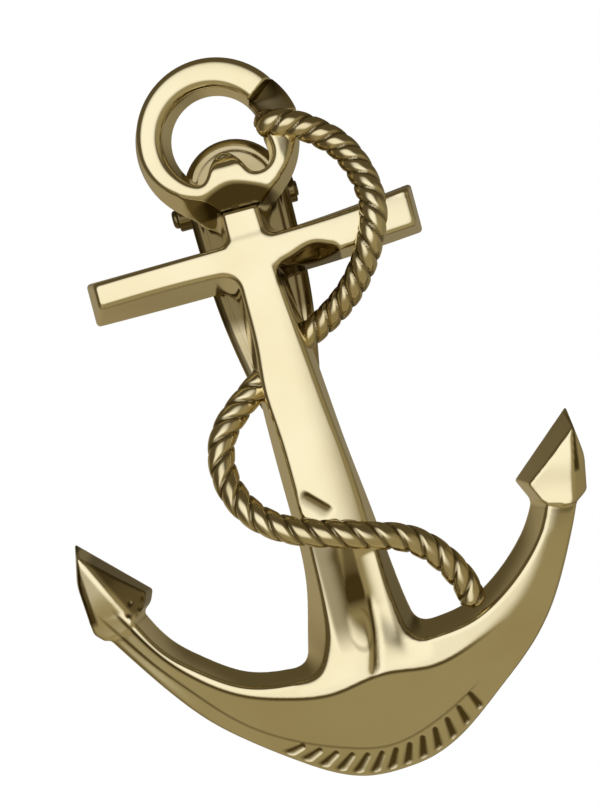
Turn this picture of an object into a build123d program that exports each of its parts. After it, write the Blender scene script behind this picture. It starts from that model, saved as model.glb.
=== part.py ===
"""Anchor-shaped brass button with a cast rope and a hinged sewing loop on its back.

Millimetres. +Z runs up the anchor's shank towards its ring, the front faces -Y and the
loop stands behind, on +Y. The origin lies on the shank's axis where the stock crosses it,
half way through the casting, while the parts are drawn. The finished parts are moved so that
the origin is the middle of the sewing loop's opening, where the thread or strap runs.
"""
from build123d import *
import math
import os

# ---- Driving dimensions ----------------------------------------------------------------
FRONT_Y = -1.3             # front face of the shank and stock
BACK_Y = 1.3               # flat back of the casting
CAST_DEPTH = BACK_Y - FRONT_Y
DRAFT = 13.0               # degrees that every side wall leans, so the casting leaves its mould
WALL_LEAN = CAST_DEPTH * math.tan(math.radians(DRAFT))
CLEAR = 20.0               # longer than any cut needs to be

RING_X = -0.3
RING_Z = 7.75
RING_OUTER_R = 5.1
RING_HOLE_R = 2.9
RING_FRONT_Y = -1.15
RING_BACK_Y = 0.9
RING_OUTER_LEAN = 0.3
RING_INNER_LEAN = 0.55
RING_FOOT_Z = 3.2          # where the ring's saddle is brazed on the neck
SADDLE_LEAN = 0.3
SADDLE = [(-2.2, 2.2), (2.0, 2.2), (2.9, 4.6), (1.6, 5.0), (-1.9, 5.0), (-3.4, 4.4)]
TONGUE_LEAN = 0.15
TONGUE = [(-1.25, 4.2), (0.95, 4.2), (0.55, 6.0), (0.1, 6.4), (-0.5, 6.4), (-0.95, 6.0)]
TONGUE_SET_BACK = 0.1

NECK_WIDTH = 3.0
NECK_LEAN = 0.35

STOCK_LEFT_X = -10.6
STOCK_RIGHT_X = 10.7
STOCK_HEIGHT = 2.9
STOCK_LEFT_Z = -0.05
STOCK_RIGHT_Z = 0.55

ROPE_R = 0.8
HITCH_WALL = 0.45
HITCH_START = -8.0         # degrees round the ring, from +X
HITCH_SWEEP = 26.0

PLATE_FRONT_Y = 1.9
PLATE_THICKNESS = 0.8
PLATE_BACK_Y = PLATE_FRONT_Y + PLATE_THICKNESS
PLATE_TOP_R = 3.3
PLATE_TOP_CENTRE_Z = 4.85
PLATE_WAIST_HALF = 3.05
PLATE_WAIST_Z = -2.2
PLATE_TIP_R = 2.1
PLATE_TIP_CENTRE_Z = -8.3
PLATE_BEVEL = 0.3

POST_R = 1.0
UPPER_POST_Z = 0.2
LOWER_POST_Z = -3.4

TUBE_R = 0.85
TUBE_STAND_OFF = 0.12      # between the fixed tubes and the back plate, filled by their saddles
HINGE_Y = PLATE_BACK_Y + TUBE_R + TUBE_STAND_OFF
HINGE_Z = 4.25
PIN_R = 0.35
PIN_RUNNING_CLEARANCE = 0.05
TUBES_LEFT_X = -4.1
TUBES_RIGHT_X = 3.75
TUBE_GAP = 0.15            # side play between neighbouring knuckle tubes
CENTRE_TUBE_HALF = 1.75
PIN_HEAD_R = 0.6
PIN_HEAD_LENGTH = 0.35     # the formed head, on the left
PIN_RIVET_R = 0.5
PIN_RIVET_LENGTH = 0.15    # the end peened over, on the right
SADDLE_HEIGHT = 1.1
HINGE_ROOM = 0.2           # between the rear leaf's shoulders and the fixed knuckle tubes

LEAF_THICKNESS = 0.75
LEAF_BOW_Y = 8.3           # outermost point of the rear leaf's outer face
LEAF_BOW_Z = -2.2
LEAF_SEAT_GAP = 0.15       # between the closed leaf and the back plate
LEAF_FOOT_BEND_R = 0.7
LEAF_FOOT_LENGTH = 1.5
LEAF_TAB_LENGTH = 0.8
LEAF_SIDE_INSET = 0.35
STUD_STEM_R = 0.3
STUD_HEAD_R = 0.42
STUD_HEAD_LENGTH = 0.35
STUD_HOLE_R = 0.56
ORIGIN_Y = (PLATE_BACK_Y + LEAF_BOW_Y - LEAF_THICKNESS) / 2    # half way across the loop's opening

FLUKE_RIDGE_Y = -1.5
FLUKE_RIM_Y = 0.1          # where a fluke's edge wall ends and its facets begin
FLUKE_RIM_LEAN = 0.2
FLUKE_CREST_ALONG = 0.72
FLUKE_CREST_ACROSS = 0.12

FRONT = Plane.XZ           # local x is X, local y is Z, and the normal points to the front


def at_depth(y):
    """The front-facing sketch plane at this Y."""
    return FRONT.offset(-y)


def outline(points, y):
    """A closed straight-sided face at this Y."""
    return at_depth(y) * make_face(Polyline(*points, close=True))


def inset(points, distance):
    """The same corners, each moved inwards by this distance from both of its sides."""
    moved = []
    count = len(points)
    for i in range(count):
        before = Vector(*points[i - 1])
        here = Vector(*points[i])
        after = Vector(*points[(i + 1) % count])
        d1 = (here - before).normalized()
        d2 = (after - here).normalized()
        normal1 = Vector(-d1.Y, d1.X)
        normal2 = Vector(-d2.Y, d2.X)
        bisector = (normal1 + normal2).normalized()
        corner = here + bisector * (distance / bisector.dot(normal1))
        moved.append((corner.X, corner.Y))
    return moved


def drafted_bar(points, back_y, front_y, lean):
    """A bar whose side walls lean inwards by `lean` from its back to its front.
    The corners run anticlockwise as seen from the front."""
    return loft([outline(points, back_y), outline(inset(points, lean), front_y)], ruled=True)


# ---- Rope ---------------------------------------------------------------------------------
ARC_SHARE = 0.45           # of the shorter run that each arc takes up

# It leaves the ring, passes before the stock and behind the shank, then before the shank again
ROPE_ROUTE = [
    (3.15, -1.35, 8.05),
    (5.05, -1.15, 7.05),
    (6.75, -1.10, 5.55),
    (7.75, -1.40, 3.60),
    (7.95, -1.75, 1.40),
    (7.25, -1.75, -0.80),
    (5.75, -0.75, -2.85),
    (3.60, 0.45, -4.60),
    (1.10, 0.90, -5.75),
    (-1.70, 0.75, -7.40),
    (-4.05, 0.20, -9.10),
    (-5.20, -0.30, -11.60),
    (-4.80, -0.90, -14.00),
    (-3.25, -1.45, -15.95),
    (-0.80, -1.75, -17.20),
    (2.30, -1.75, -18.05),
    (4.95, -1.15, -19.05),
    (6.85, -0.75, -21.15),
    (7.60, -0.55, -23.90),
]


def rounded_route(points):
    """Straight runs joined by tangent arcs, each as large as its two runs allow."""
    corners = [Vector(*p) for p in points]
    edges = []
    start = corners[0]
    for before, here, after in zip(corners, corners[1:], corners[2:]):
        into = here - before
        out = after - here
        reach = ARC_SHARE * min(into.length, out.length)
        arc_start = here - into.normalized() * reach
        arc_end = here + out.normalized() * reach
        edges.append(Line(start, arc_start))
        edges.append(TangentArc(arc_start, arc_end, tangent=into))
        start = arc_end
    edges.append(Line(start, corners[-1]))
    return Wire(edges)


def make_rope():
    route = rounded_route(ROPE_ROUTE)
    start_plane = Plane(origin=route @ 0, z_dir=route % 0)
    return sweep(start_plane * Circle(ROPE_R), path=route)


# ---- Anchor -------------------------------------------------------------------------------
def ring_profile(grow):
    """The ring's section, r outwards and y back, grown on all sides."""
    return [
        (RING_HOLE_R - grow, RING_BACK_Y + grow),
        (RING_OUTER_R + grow, RING_BACK_Y + grow),
        (RING_OUTER_R - RING_OUTER_LEAN + grow, RING_FRONT_Y - grow),
        (RING_HOLE_R + RING_INNER_LEAN - grow, RING_FRONT_Y - grow),
    ]


def ring_turn(grow, start_angle, sweep_angle):
    """Part of the ring, from start_angle (degrees from +X) over sweep_angle."""
    section = Plane.XY * make_face(Polyline(*ring_profile(grow), close=True))
    turn = revolve(section, axis=Axis.Y, revolution_arc=sweep_angle)
    turn = turn.rotate(Axis.Y, -start_angle - sweep_angle)
    return Pos(RING_X, 0, RING_Z) * turn


def neck_top():
    """Space that the neck takes up, which the ring's saddle sits round."""
    return Pos(0, 0, RING_FOOT_Z) * Box(CLEAR, CLEAR, CLEAR, align=(Align.CENTER, Align.CENTER, Align.MAX))


def make_ring():
    ring = ring_turn(0, 0, 360)
    saddle = drafted_bar(SADDLE, RING_BACK_Y, RING_FRONT_Y, SADDLE_LEAN)
    tongue = drafted_bar(TONGUE, RING_BACK_Y, RING_FRONT_Y + TONGUE_SET_BACK, TONGUE_LEAN)
    return ring + saddle + tongue - neck_top()


def make_anchor_body(rope):
    stock = drafted_bar(
        [(STOCK_LEFT_X, STOCK_LEFT_Z - STOCK_HEIGHT / 2),
         (STOCK_RIGHT_X, STOCK_RIGHT_Z - STOCK_HEIGHT / 2),
         (STOCK_RIGHT_X, STOCK_RIGHT_Z + STOCK_HEIGHT / 2),
         (STOCK_LEFT_X, STOCK_LEFT_Z + STOCK_HEIGHT / 2)],
        BACK_Y, FRONT_Y, WALL_LEAN)
    half_neck = NECK_WIDTH / 2
    neck = drafted_bar(
        [(-half_neck, 0), (half_neck, 0), (half_neck, RING_FOOT_Z), (-half_neck, RING_FOOT_Z)],
        RING_BACK_Y, FRONT_Y, NECK_LEAN)
    shank = drafted_bar(
        [(-3.4, -27.5), (4.4, -27.5), (3.7, -23.3), (3.2, -18.0), (2.3, -9.0), (1.9, 0.5),
         (-1.8, 0.5), (-1.8, -17.0), (-2.8, -24.0)],
        BACK_Y, FRONT_Y, WALL_LEAN)
    return (stock + neck + shank + make_arms()) - rope


# Corners run anticlockwise from the outer end of each arm
LEFT_FLUKE = [(-15.9, -19.5), (-15.1, -20.4), (-13.6, -20.6), (-12.5, -20.2), (-11.4, -18.3),
              (-15.4, -14.2), (-15.95, -16.2)]
RIGHT_FLUKE = [(13.3, -19.65), (14.8, -19.9), (16.4, -19.0), (16.8, -17.4), (16.6, -13.85),
               (16.1, -13.9), (12.3, -17.45)]
LEFT_RIDGE = [(-14.9, -15.0), (-12.9, -19.3)]
RIGHT_RIDGE = [(15.8, -14.9), (13.9, -18.6)]
ARM_END_LEFT = [(-14.4, -20.3), (-11.95, -19.3)]
ARM_END_RIGHT = [(12.8, -18.9), (15.4, -19.25)]


def arms_face(outer, inner, y):
    """The crescent of both arms between its outer (lower) and inner (upper) curves."""
    lower = Spline(*outer)
    upper = Spline(*inner)
    wire = Wire([lower, Line(lower @ 1, upper @ 0), upper, Line(upper @ 1, lower @ 0)])
    return at_depth(y) * Face(wire)


def make_arms():
    back = arms_face(
        [ARM_END_LEFT[0], (-11.2, -25.2), (-5.7, -30.4), (0.7, -33.1), (6.4, -30.8),
         (11.7, -25.8), ARM_END_RIGHT[1]],
        [ARM_END_RIGHT[0], (9.3, -23.3), (4.75, -24.9), (-4.3, -25.4), (-8.8, -23.6), ARM_END_LEFT[1]],
        BACK_Y)
    front = arms_face(
        [(-13.3, -19.5), (-10.5, -23.3), (-5.6, -26.2), (0.7, -27.0), (6.3, -26.3),
         (10.8, -24.0), (14.3, -18.75)],
        [(13.5, -18.6), (9.3, -23.7), (4.6, -25.2), (-4.2, -25.6), (-8.8, -24.2), (-12.8, -19.2)],
        FRONT_Y)
    return loft([back, front], ruled=True)


def flattened(points, line_start, line_end, along, across):
    """The corners drawn in towards a line, by one factor along it and one across it."""
    middle = (Vector(*line_start) + Vector(*line_end)) / 2
    direction = (Vector(*line_end) - Vector(*line_start)).normalized()
    sideways = Vector(-direction.Y, direction.X)
    drawn = []
    for point in points:
        offset_from_middle = Vector(*point) - middle
        along_part = direction * (offset_from_middle.dot(direction) * along)
        across_part = sideways * (offset_from_middle.dot(sideways) * across)
        corner = middle + along_part + across_part
        drawn.append((corner.X, corner.Y))
    return drawn


def make_fluke(points, ridge_start, ridge_end, anchor_body):
    """An arrowhead: upright edge walls and a faceted front that rises to a ridge."""
    rim = inset(points, FLUKE_RIM_LEAN)
    crest = flattened(points, ridge_start, ridge_end, FLUKE_CREST_ALONG, FLUKE_CREST_ACROSS)
    edge_wall = loft([outline(points, BACK_Y), outline(rim, FLUKE_RIM_Y)], ruled=True)
    facets = loft([outline(rim, FLUKE_RIM_Y), outline(crest, FLUKE_RIDGE_Y)], ruled=True)
    return edge_wall + facets - anchor_body


# ---- Hinged sewing loop -------------------------------------------------------------------
def pear_face(shrink, y):
    """The loop's pear shape, drawn in by `shrink` on all sides."""
    shoulder = PLATE_TOP_R - shrink
    waist = PLATE_WAIST_HALF - shrink
    tip = PLATE_TIP_R - shrink
    top = Vector(0, PLATE_TOP_CENTRE_Z + shoulder)
    bottom = Vector(0, PLATE_TIP_CENTRE_Z - tip)
    top_right = Vector(shoulder, PLATE_TOP_CENTRE_Z)
    top_left = Vector(-shoulder, PLATE_TOP_CENTRE_Z)
    tip_right = Vector(tip, PLATE_TIP_CENTRE_Z)
    tip_left = Vector(-tip, PLATE_TIP_CENTRE_Z)
    wire = Wire([
        ThreePointArc(top_right, top, top_left),
        ThreePointArc(top_left, Vector(-waist, PLATE_WAIST_Z), tip_left),
        ThreePointArc(tip_left, bottom, tip_right),
        ThreePointArc(tip_right, Vector(waist, PLATE_WAIST_Z), top_right),
    ])
    return at_depth(y) * Face(wire)


def make_backplate():
    full = extrude(pear_face(0, PLATE_BACK_Y), amount=PLATE_THICKNESS - PLATE_BEVEL)
    bevel = loft([
        pear_face(0, PLATE_FRONT_Y + PLATE_BEVEL),
        pear_face(PLATE_BEVEL, PLATE_FRONT_Y),
    ], ruled=True)
    return full + bevel


def make_post(z):
    """A round post brazed between the casting and the loop's back plate."""
    length = PLATE_FRONT_Y - BACK_Y
    return Pos(0, BACK_Y + length / 2, z) * Rot(90, 0, 0) * Cylinder(POST_R, length)


def across_hinge(radius, x_from, x_to):
    """A cylinder on the hinge's axis between two X positions."""
    middle = (x_from + x_to) / 2
    return Pos(middle, HINGE_Y, HINGE_Z) * Rot(0, 90, 0) * Cylinder(radius, x_to - x_from)


def make_fixed_tube(x_from, x_to):
    """An outer knuckle tube with the saddle that stands it on the back plate."""
    saddle_from = max(x_from, -PLATE_TOP_R + PLATE_BEVEL)
    saddle_to = min(x_to, PLATE_TOP_R - PLATE_BEVEL)
    saddle = Pos((saddle_from + saddle_to) / 2, (PLATE_BACK_Y + HINGE_Y) / 2, HINGE_Z) * Box(
        saddle_to - saddle_from, HINGE_Y - PLATE_BACK_Y, SADDLE_HEIGHT)
    return across_hinge(TUBE_R, x_from, x_to) + saddle - across_hinge(PIN_R, -CLEAR, CLEAR)


def make_centre_tube():
    tube = across_hinge(TUBE_R, -CENTRE_TUBE_HALF, CENTRE_TUBE_HALF)
    bore = across_hinge(PIN_R + PIN_RUNNING_CLEARANCE, -CLEAR, CLEAR)
    return tube - bore


def make_pin():
    """The hinge pin, with a head on its left end and its right end riveted over."""
    shaft = across_hinge(PIN_R, TUBES_LEFT_X, TUBES_RIGHT_X)
    head = across_hinge(PIN_HEAD_R, TUBES_LEFT_X - PIN_HEAD_LENGTH, TUBES_LEFT_X)
    rivet = across_hinge(PIN_RIVET_R, TUBES_RIGHT_X, TUBES_RIGHT_X + PIN_RIVET_LENGTH)
    return shaft + head + rivet


def arc_centre_y(through_y, rise, crest_y):
    """Centre of the arc that is upright at crest_y and passes through_y after `rise`."""
    return (crest_y**2 - through_y**2 - rise**2) / (2 * (crest_y - through_y))


def leaf_side_profile():
    """The rear leaf's bowed strip, seen along X and drawn on the YZ plane."""
    crest_y = LEAF_BOW_Y - LEAF_THICKNESS / 2
    seat_y = PLATE_BACK_Y + LEAF_SEAT_GAP + LEAF_THICKNESS / 2
    crest = Vector(crest_y, LEAF_BOW_Z)
    hinge = Vector(HINGE_Y, HINGE_Z)
    upper_centre = arc_centre_y(HINGE_Y, HINGE_Z - LEAF_BOW_Z, crest_y)
    upper_angle = math.atan2(HINGE_Z - LEAF_BOW_Z, HINGE_Y - upper_centre) / 2
    upper_radius = crest_y - upper_centre
    upper_middle = Vector(
        upper_centre + upper_radius * math.cos(upper_angle),
        LEAF_BOW_Z + upper_radius * math.sin(upper_angle))
    lower_radius = crest_y - seat_y - LEAF_FOOT_BEND_R
    lower_end = Vector(seat_y + LEAF_FOOT_BEND_R, LEAF_BOW_Z - lower_radius)
    diagonal = lower_radius * math.sqrt(0.5)
    lower_middle = Vector(lower_end.X + diagonal, LEAF_BOW_Z - diagonal)
    foot_top = Vector(seat_y, lower_end.Y - LEAF_FOOT_BEND_R)
    foot_bend = LEAF_FOOT_BEND_R * (1 - math.sqrt(0.5))
    foot_middle = Vector(seat_y + foot_bend, lower_end.Y - foot_bend)
    foot_bottom = Vector(seat_y, foot_top.Y - LEAF_FOOT_LENGTH)
    tab_end = Vector(seat_y + LEAF_TAB_LENGTH, foot_bottom.Y - LEAF_TAB_LENGTH)
    centre_line = Wire([
        ThreePointArc(hinge, upper_middle, crest),
        ThreePointArc(crest, lower_middle, lower_end),
        ThreePointArc(lower_end, foot_middle, foot_top),
        Line(foot_top, foot_bottom),
        Line(foot_bottom, tab_end),
    ])
    strip = offset(centre_line, amount=LEAF_THICKNESS / 2, side=Side.BOTH)
    return Plane.YZ * make_face(strip.edges()), foot_top.Y - LEAF_FOOT_LENGTH / 2


def make_rear_leaf():
    """The hinged rear leaf and the height of its catch hole."""
    profile, stud_z = leaf_side_profile()
    strip = extrude(profile, amount=PLATE_TOP_R, both=True)
    pear_prism = extrude(pear_face(LEAF_SIDE_INSET, CLEAR), amount=2 * CLEAR)
    tab_prism = Pos(0, 0, PLATE_TIP_CENTRE_Z) * Box(
        2 * (PLATE_TIP_R - LEAF_SIDE_INSET), CLEAR, CLEAR, align=(Align.CENTER, Align.CENTER, Align.MAX))
    leaf = strip & (pear_prism + tab_prism)
    side_room = TUBE_R + HINGE_ROOM
    leaf -= across_hinge(side_room, -CLEAR, -CENTRE_TUBE_HALF)
    leaf -= across_hinge(side_room, CENTRE_TUBE_HALF, CLEAR)
    leaf -= across_hinge(TUBE_R, -CENTRE_TUBE_HALF, CENTRE_TUBE_HALF)
    foot_middle_y = PLATE_BACK_Y + LEAF_SEAT_GAP + LEAF_THICKNESS / 2
    leaf -= Pos(0, foot_middle_y, stud_z) * Rot(90, 0, 0) * Cylinder(STUD_HOLE_R, 3 * LEAF_THICKNESS)
    return leaf, stud_z


def make_catch_stud(stud_z):
    """A headed stud on the back plate that the closed leaf's hole snaps over."""
    stem_length = LEAF_SEAT_GAP + LEAF_THICKNESS
    stem = Pos(0, PLATE_BACK_Y + stem_length / 2, stud_z) * Rot(90, 0, 0) * Cylinder(STUD_STEM_R, stem_length)
    head = Pos(0, PLATE_BACK_Y + stem_length, stud_z) * Rot(-90, 0, 0) * Cylinder(
        STUD_HEAD_R, STUD_HEAD_LENGTH, align=(Align.CENTER, Align.CENTER, Align.MIN))
    return stem + head


def main():
    rope = make_rope()
    ring = make_ring() - rope
    anchor_body = make_anchor_body(rope)
    hitch_room = ring_turn(0, HITCH_START, HITCH_SWEEP)
    rope_hitch = ring_turn(HITCH_WALL, HITCH_START, HITCH_SWEEP) - hitch_room - rope
    rear_leaf, stud_z = make_rear_leaf()
    parts = {
        "anchor_body": anchor_body,
        "anchor_ring": ring,
        "left_fluke": make_fluke(LEFT_FLUKE, LEFT_RIDGE[0], LEFT_RIDGE[1], anchor_body),
        "right_fluke": make_fluke(RIGHT_FLUKE, RIGHT_RIDGE[0], RIGHT_RIDGE[1], anchor_body),
        "rope": rope,
        "rope_hitch": rope_hitch,
        "loop_backplate": make_backplate(),
        "upper_post": make_post(UPPER_POST_Z),
        "lower_post": make_post(LOWER_POST_Z),
        "hinge_tube_left": make_fixed_tube(TUBES_LEFT_X, -CENTRE_TUBE_HALF - TUBE_GAP),
        "hinge_tube_right": make_fixed_tube(CENTRE_TUBE_HALF + TUBE_GAP, TUBES_RIGHT_X),
        "hinge_tube_centre": make_centre_tube(),
        "hinge_pin": make_pin(),
        "rear_leaf": rear_leaf,
        "catch_stud": make_catch_stud(stud_z),
    }
    os.makedirs("parts", exist_ok=True)
    for name, shape in parts.items():
        moved = Pos(0, -ORIGIN_Y, -LEAF_BOW_Z) * shape
        moved.label = name
        export_step(moved, f"parts/{name}.step")
    return parts


main()
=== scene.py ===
"""Looks of the anchor-shaped brass button: a polished casting with a rope wound round it and a
hinged loop on its back. Shapes are drawn in millimetres in the casting's drawing frame, whose
origin is where the stock crosses the shank, and are moved into the CAD frame when meshed. +X is
to the right as the anchor is seen, +Z runs up its shank, and its front faces -Y."""
import math

import bmesh
import bpy
import numpy as np
from mathutils import Matrix, Vector


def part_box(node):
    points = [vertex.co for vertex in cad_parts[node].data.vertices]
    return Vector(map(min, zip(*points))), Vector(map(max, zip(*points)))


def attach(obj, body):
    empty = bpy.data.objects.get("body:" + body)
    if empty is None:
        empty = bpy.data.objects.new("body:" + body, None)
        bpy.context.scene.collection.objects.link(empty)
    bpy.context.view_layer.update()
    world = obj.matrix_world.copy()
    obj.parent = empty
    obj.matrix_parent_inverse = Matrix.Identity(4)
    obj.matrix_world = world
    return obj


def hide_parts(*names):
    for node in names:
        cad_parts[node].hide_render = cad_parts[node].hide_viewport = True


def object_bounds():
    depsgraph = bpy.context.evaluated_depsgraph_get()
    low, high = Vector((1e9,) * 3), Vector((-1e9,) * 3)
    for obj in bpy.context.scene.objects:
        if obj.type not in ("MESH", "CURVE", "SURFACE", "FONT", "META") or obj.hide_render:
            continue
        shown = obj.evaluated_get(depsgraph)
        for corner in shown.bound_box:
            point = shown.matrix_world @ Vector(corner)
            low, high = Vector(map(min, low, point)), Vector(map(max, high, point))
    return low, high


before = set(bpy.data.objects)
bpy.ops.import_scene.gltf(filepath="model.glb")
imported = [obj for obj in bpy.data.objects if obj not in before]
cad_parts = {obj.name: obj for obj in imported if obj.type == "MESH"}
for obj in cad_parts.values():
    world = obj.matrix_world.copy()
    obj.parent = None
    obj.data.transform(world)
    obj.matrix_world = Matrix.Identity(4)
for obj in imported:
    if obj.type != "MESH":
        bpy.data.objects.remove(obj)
cad_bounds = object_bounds()

MM = 0.001

# ---- Driving sizes, millimetres -------------------------------
FRONT_Y = -1.3             # front face of shank and stock
BACK_Y = 1.3               # flat back of the casting
RING_FRONT_Y = -1.15       # where the ring's leaning walls start
RING_BACK_Y = 0.7          # the ring and neck are thinner than the rest
RING_X = -0.3
RING_Z = 7.75
RING_OUTER_R = 5.1         # at the back; the wall leans in towards the front
RING_FRONT_R = 4.85
RING_LEAN = 0.3
RING_BAND_R = 4.1          # middle of the ring's band
RING_FOOT_Z = 3.2          # seam between ring and neck
MESH_STEP = 0.11    # edge length of the casting's mesh

# Where the drawing frame's origin lies in the CAD frame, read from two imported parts
ORIGIN = Vector((
    0.0,
    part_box("anchor_body")[0][1] / MM - FRONT_Y,
    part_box("anchor_ring")[1][2] / MM - RING_Z - RING_OUTER_R,
))


# ---- Curves and fields ----------------------------------------
class Smooth:
    """A natural cubic curve v(u) through a few points, straight beyond its ends."""

    def __init__(self, *points):
        self.u = np.array([p[0] for p in points], dtype=float)
        self.v = np.array([p[1] for p in points], dtype=float)
        count = len(points)
        gap = np.diff(self.u)
        rise = np.diff(self.v) / gap
        system = np.eye(count)
        right = np.zeros(count)
        for i in range(1, count - 1):
            system[i, i - 1:i + 2] = gap[i - 1], 2 * (gap[i - 1] + gap[i]), gap[i]
            right[i] = 6 * (rise[i] - rise[i - 1])
        self.bend = np.linalg.solve(system, right)

    def value_and_slope(self, u):
        inside = np.clip(u, self.u[0], self.u[-1])
        i = np.clip(np.searchsorted(self.u, inside) - 1, 0, len(self.u) - 2)
        gap = self.u[i + 1] - self.u[i]
        a = (self.u[i + 1] - inside) / gap
        b = 1 - a
        value = (a * self.v[i] + b * self.v[i + 1]
                 + ((a**3 - a) * self.bend[i] + (b**3 - b) * self.bend[i + 1]) * gap**2 / 6)
        slope = ((self.v[i + 1] - self.v[i]) / gap
                 + ((3 * b**2 - 1) * self.bend[i + 1] - (3 * a**2 - 1) * self.bend[i]) * gap / 6)
        return value + slope * (u - inside), slope

    def value(self, u):
        return self.value_and_slope(u)[0]

    def above(self, u, v):
        """Signed distance, near enough, from the curve to (u, v): positive above it."""
        value, slope = self.value_and_slope(u)
        return (v - value) / np.sqrt(1 + slope**2)


def smooth_max(a, b, blend):
    """The larger of two fields, rounded where they cross."""
    return np.maximum(a, b) + np.maximum(blend - np.abs(a - b), 0)**2 / (4 * blend)


def smooth_min(a, b, blend):
    return -smooth_max(-a, -b, blend)


def meet(blend, *fields):
    """The rounded overlap of several half-spaces."""
    result = fields[0]
    for field in fields[1:]:
        result = smooth_max(result, field, blend)
    return result


def ramp(value, start, end):
    """0 before start and 1 after end, with soft ends."""
    t = np.clip((value - start) / (end - start), 0, 1)
    return t * t * (3 - 2 * t)


def window(value, rise_from, rise_to, fall_from, fall_to):
    """1 between two soft ends, and 0 outside them."""
    return ramp(value, rise_from, rise_to) * (1 - ramp(value, fall_from, fall_to))


def soft_line(distance, width):
    """1 on a line, and nearly 0 two widths away from it."""
    return np.exp(-(distance / width)**2)


def soft_positive(value, blend):
    """max(value, 0) with a rounded corner."""
    return smooth_max(value, np.zeros_like(value), blend)


def half_plane(x, z, start, end):
    """Distance to the right of the line from start to end."""
    dx = end[0] - start[0]
    dz = end[1] - start[1]
    return ((x - start[0]) * dz - (z - start[1]) * dx) / math.hypot(dx, dz)


def share_along(x, z, start, end):
    """0 level with the start of a line and 1 level with its end."""
    dx = end[0] - start[0]
    dz = end[1] - start[1]
    return ((x - start[0]) * dx + (z - start[1]) * dz) / (dx**2 + dz**2)


def turned(x, z, centre, angle):
    """Places along and across axes that are turned by an angle in radians about a centre."""
    along = (x - centre[0]) * math.cos(angle) + (z - centre[1]) * math.sin(angle)
    across = (z - centre[1]) * math.cos(angle) - (x - centre[0]) * math.sin(angle)
    return along, across


# ---- Casting: outlines ----------------------------------------
# Outlines run left to right, or up, as (u, v) points: at the front face, and at the back where
# the name says so. The walls between them lean, so that the casting leaves its mould.
STOCK_TOP = Smooth((-10, 0.9), (-2, 1.08), (1, 1.12), (6, 1.3), (10.2, 1.68))
STOCK_TOP_BACK = Smooth((-10.6, 1.35), (-2, 1.45), (1, 1.5), (6, 1.8), (10.7, 2.3))
STOCK_FOOT = Smooth((-10, -0.6), (-2.5, -0.55), (1.3, -0.8), (5.2, -0.85), (10.2, -0.6))
STOCK_FOOT_BACK = Smooth((-10.6, -1.5), (-2.5, -1.5), (2, -1.4), (6, -1.25), (10.7, -0.9))
STOCK_ENDS_X = (-9.85, 10.15)
STOCK_END_LEANS = (0.8, 0.6)
ARCH = Smooth((0.8, -1.7), (1.2, -0.95), (2.1, -0.42), (3.1, -0.08), (4.0, 0.0), (4.8, -0.3),
              (5.3, -0.9), (5.55, -1.8))
SHANK_LEFT = Smooth((-25.5, -2.3), (-24, -1.6), (-22, -1.3), (-15, -1.22), (-10.5, -1.32),
                    (-8, -1.47), (-5.5, -1.25), (-3, -1.2), (3.2, -1.15))
SHANK_LEFT_BACK = Smooth((-26, -3.4), (-24.4, -3.1), (-22.8, -2.7), (-20.5, -2.15), (-16, -1.93),
                         (-9, -1.93), (-5, -1.75), (0, -1.6), (3.2, -1.5))
SHANK_RIGHT = Smooth((-25.5, 3.5), (-24, 2.9), (-20, 2.5), (-15, 2.5), (-10, 2.02), (-6, 1.65),
                     (-3, 1.35), (3.2, 1.0))
SHANK_RIGHT_BACK = Smooth((-26, 4.8), (-24.5, 4.2), (-23, 3.86), (-21, 3.6), (-17, 3.19),
                          (-12.5, 2.67), (-8, 2.31), (-3, 1.9), (3.2, 1.5))
SHANK_TOP_Z = RING_FOOT_Z + 1.3      # inside the ring
SHANK_FOOT_Z = -27.0                 # inside the crown
ARM_INNER = Smooth((-13.9, -17.3), (-13.2, -18.6), (-12, -20.95), (-10, -23.2), (-7.5, -24.95),
                   (-4.5, -25.65), (0, -25.6), (4.5, -25.1), (7.2, -24.75), (9.5, -23.6),
                   (11.5, -21.95), (13, -20), (13.9, -18.2))
ARM_CREST = Smooth((-14, -18), (-12, -21.5), (-10, -23.8), (-8, -25.3), (-5, -26.45), (-2, -26.9),
                   (0.9, -26.5), (2.3, -26.6), (4, -26.8), (7, -26.1), (10, -24.6), (12, -22.5),
                   (14, -19.2))
ARM_RIM = Smooth((-14.3, -19.3), (-12.2, -22.4), (-10.5, -24.5), (-8.6, -26.7), (-5.1, -29.3),
                 (-2, -30.65), (0.5, -31.2), (3, -30.6), (5.6, -29.3), (8.6, -27.1), (11.2, -24.7),
                 (13.3, -22), (14.9, -19.1))
ARM_OUTER = Smooth((-14.6, -20.3), (-12.4, -23.6), (-10.3, -26.4), (-8.25, -28.4), (-5.2, -30.85),
                   (-2.1, -32.7), (0.5, -33.1), (3.1, -32.7), (5.7, -31.3), (8.2, -29.2),
                   (10.3, -27.4), (12.3, -25.1), (13.9, -22.4), (15.4, -19.4))
LEFT_ARM_END_Z = -19.0               # the arms stop inside the flukes
RIGHT_ARM_END_Z = -18.6
HOLE_FRONT_R = 3.2                   # of the ring's hole, which narrows towards the back
HOLE_LEAN = 0.38
HOLE_SHIFT = 0.2                     # its front lies this far to the left
SIDE_HOLE_CENTRE = (1.7, 6.2)        # the hole widens beside the tongue
SIDE_HOLE_FRONT_R = 1.15
SIDE_HOLE_LEAN = 0.3
TONGUE = Smooth((-3.0, 5.5), (-2.4, 5.2), (-1.85, 5.15), (-1.5, 5.45), (-1.2, 5.95), (-0.8, 6.5),
                (-0.2, 6.8), (0.4, 6.5), (0.8, 5.95), (1.1, 5.4), (1.55, 5.05), (2.2, 5.0),
                (3.0, 5.4))
TONGUE_HALF_WIDTH = 3.2
EDGE = 0.3                           # rounding of the casting's front edges
RING_EDGE = 0.42
BACK_EDGE = 0.25
ARM_JOINT = 1.0                      # rounding of the corners between arms and shank
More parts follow.
